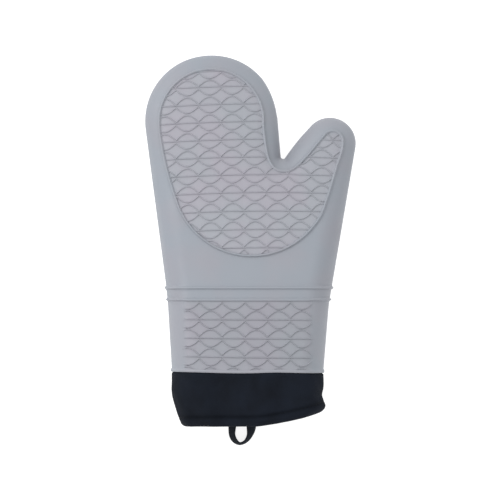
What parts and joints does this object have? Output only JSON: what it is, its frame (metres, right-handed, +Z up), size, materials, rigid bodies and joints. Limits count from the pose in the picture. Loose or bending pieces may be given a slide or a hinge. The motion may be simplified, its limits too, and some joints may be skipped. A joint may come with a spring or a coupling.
{
  "type": "oven mitt",
  "caption": "Silicone oven mitt with a raised rib pattern, a quilted fabric liner, a dark fabric cuff and a hanging loop.",
  "frame": {"origin": "centre of the outline on the surface the mitt lies on, back face down", "axes": "+Y to the fingertips, +X to the thumb side, +Z up out of the palm face"},
  "size_m": [0.1781, 0.3311, 0.0592],
  "materials": {
    "silicone": "matte",
    "face_fabric": "matte",
    "batting": "matte",
    "lining_fabric": "matte",
    "seam_plies": "matte",
    "thread": "matte",
    "adhesive": "satin",
    "cuff_fabric": "matte",
    "tape": "matte"
  },
  "bodies": {
    "hand": {"shell_hand": "silicone", "palm_fabric_hand": "face_fabric", "palm_batting_hand": "batting", "palm_lining_hand": "lining_fabric", "back_fabric_hand": "face_fabric", "back_batting_hand": "batting", "back_lining_hand": "lining_fabric", "side_seam_hand": "seam_plies", "quilting_thread_palm": "thread", "quilting_thread_back": "thread", "rim_bond": "adhesive", "cuff_palm": "cuff_fabric", "cuff_back": "cuff_fabric", "hem_thread": "thread", "loop_ends": "tape", "loop_bartack": "thread"},
    "fingers": {"shell_fingers": "silicone", "palm_fabric_fingers": "face_fabric", "palm_batting_fingers": "batting", "palm_lining_fingers": "lining_fabric", "back_fabric_fingers": "face_fabric", "back_batting_fingers": "batting", "back_lining_fingers": "lining_fabric", "side_seam_fingers": "seam_plies", "quilting_thread_fingers": "thread"},
    "thumb": {"shell_thumb": "silicone", "palm_fabric_thumb": "face_fabric", "palm_batting_thumb": "batting", "palm_lining_thumb": "lining_fabric", "back_fabric_thumb": "face_fabric", "back_batting_thumb": "batting", "back_lining_thumb": "lining_fabric", "side_seam_thumb": "seam_plies"},
    "loop": {"hanging_loop": "tape"}
  },
  "joints": [
    {"name": "fingers_fold", "type": "hinge", "parent": "hand", "child": "fingers", "pos_m": [-0.03, 0.08, 0.0368], "axis": [1, 0, 0], "range_deg": [0, 60], "stiffness_Nm_per_rad": 0.25},
    {"name": "thumb_fold", "type": "hinge", "parent": "hand", "child": "thumb", "pos_m": [0.0284, 0.08, 0.0368], "axis": [0.9053, -0.4221, 0.047], "range_deg": [0, 50], "stiffness_Nm_per_rad": 0.15},
    {"name": "loop_swing", "type": "hinge", "parent": "hand", "child": "loop", "pos_m": [-0.0072, -0.1507, 0.007], "axis": [-1, 0, 0], "range_deg": [0, 100]}
  ]
}
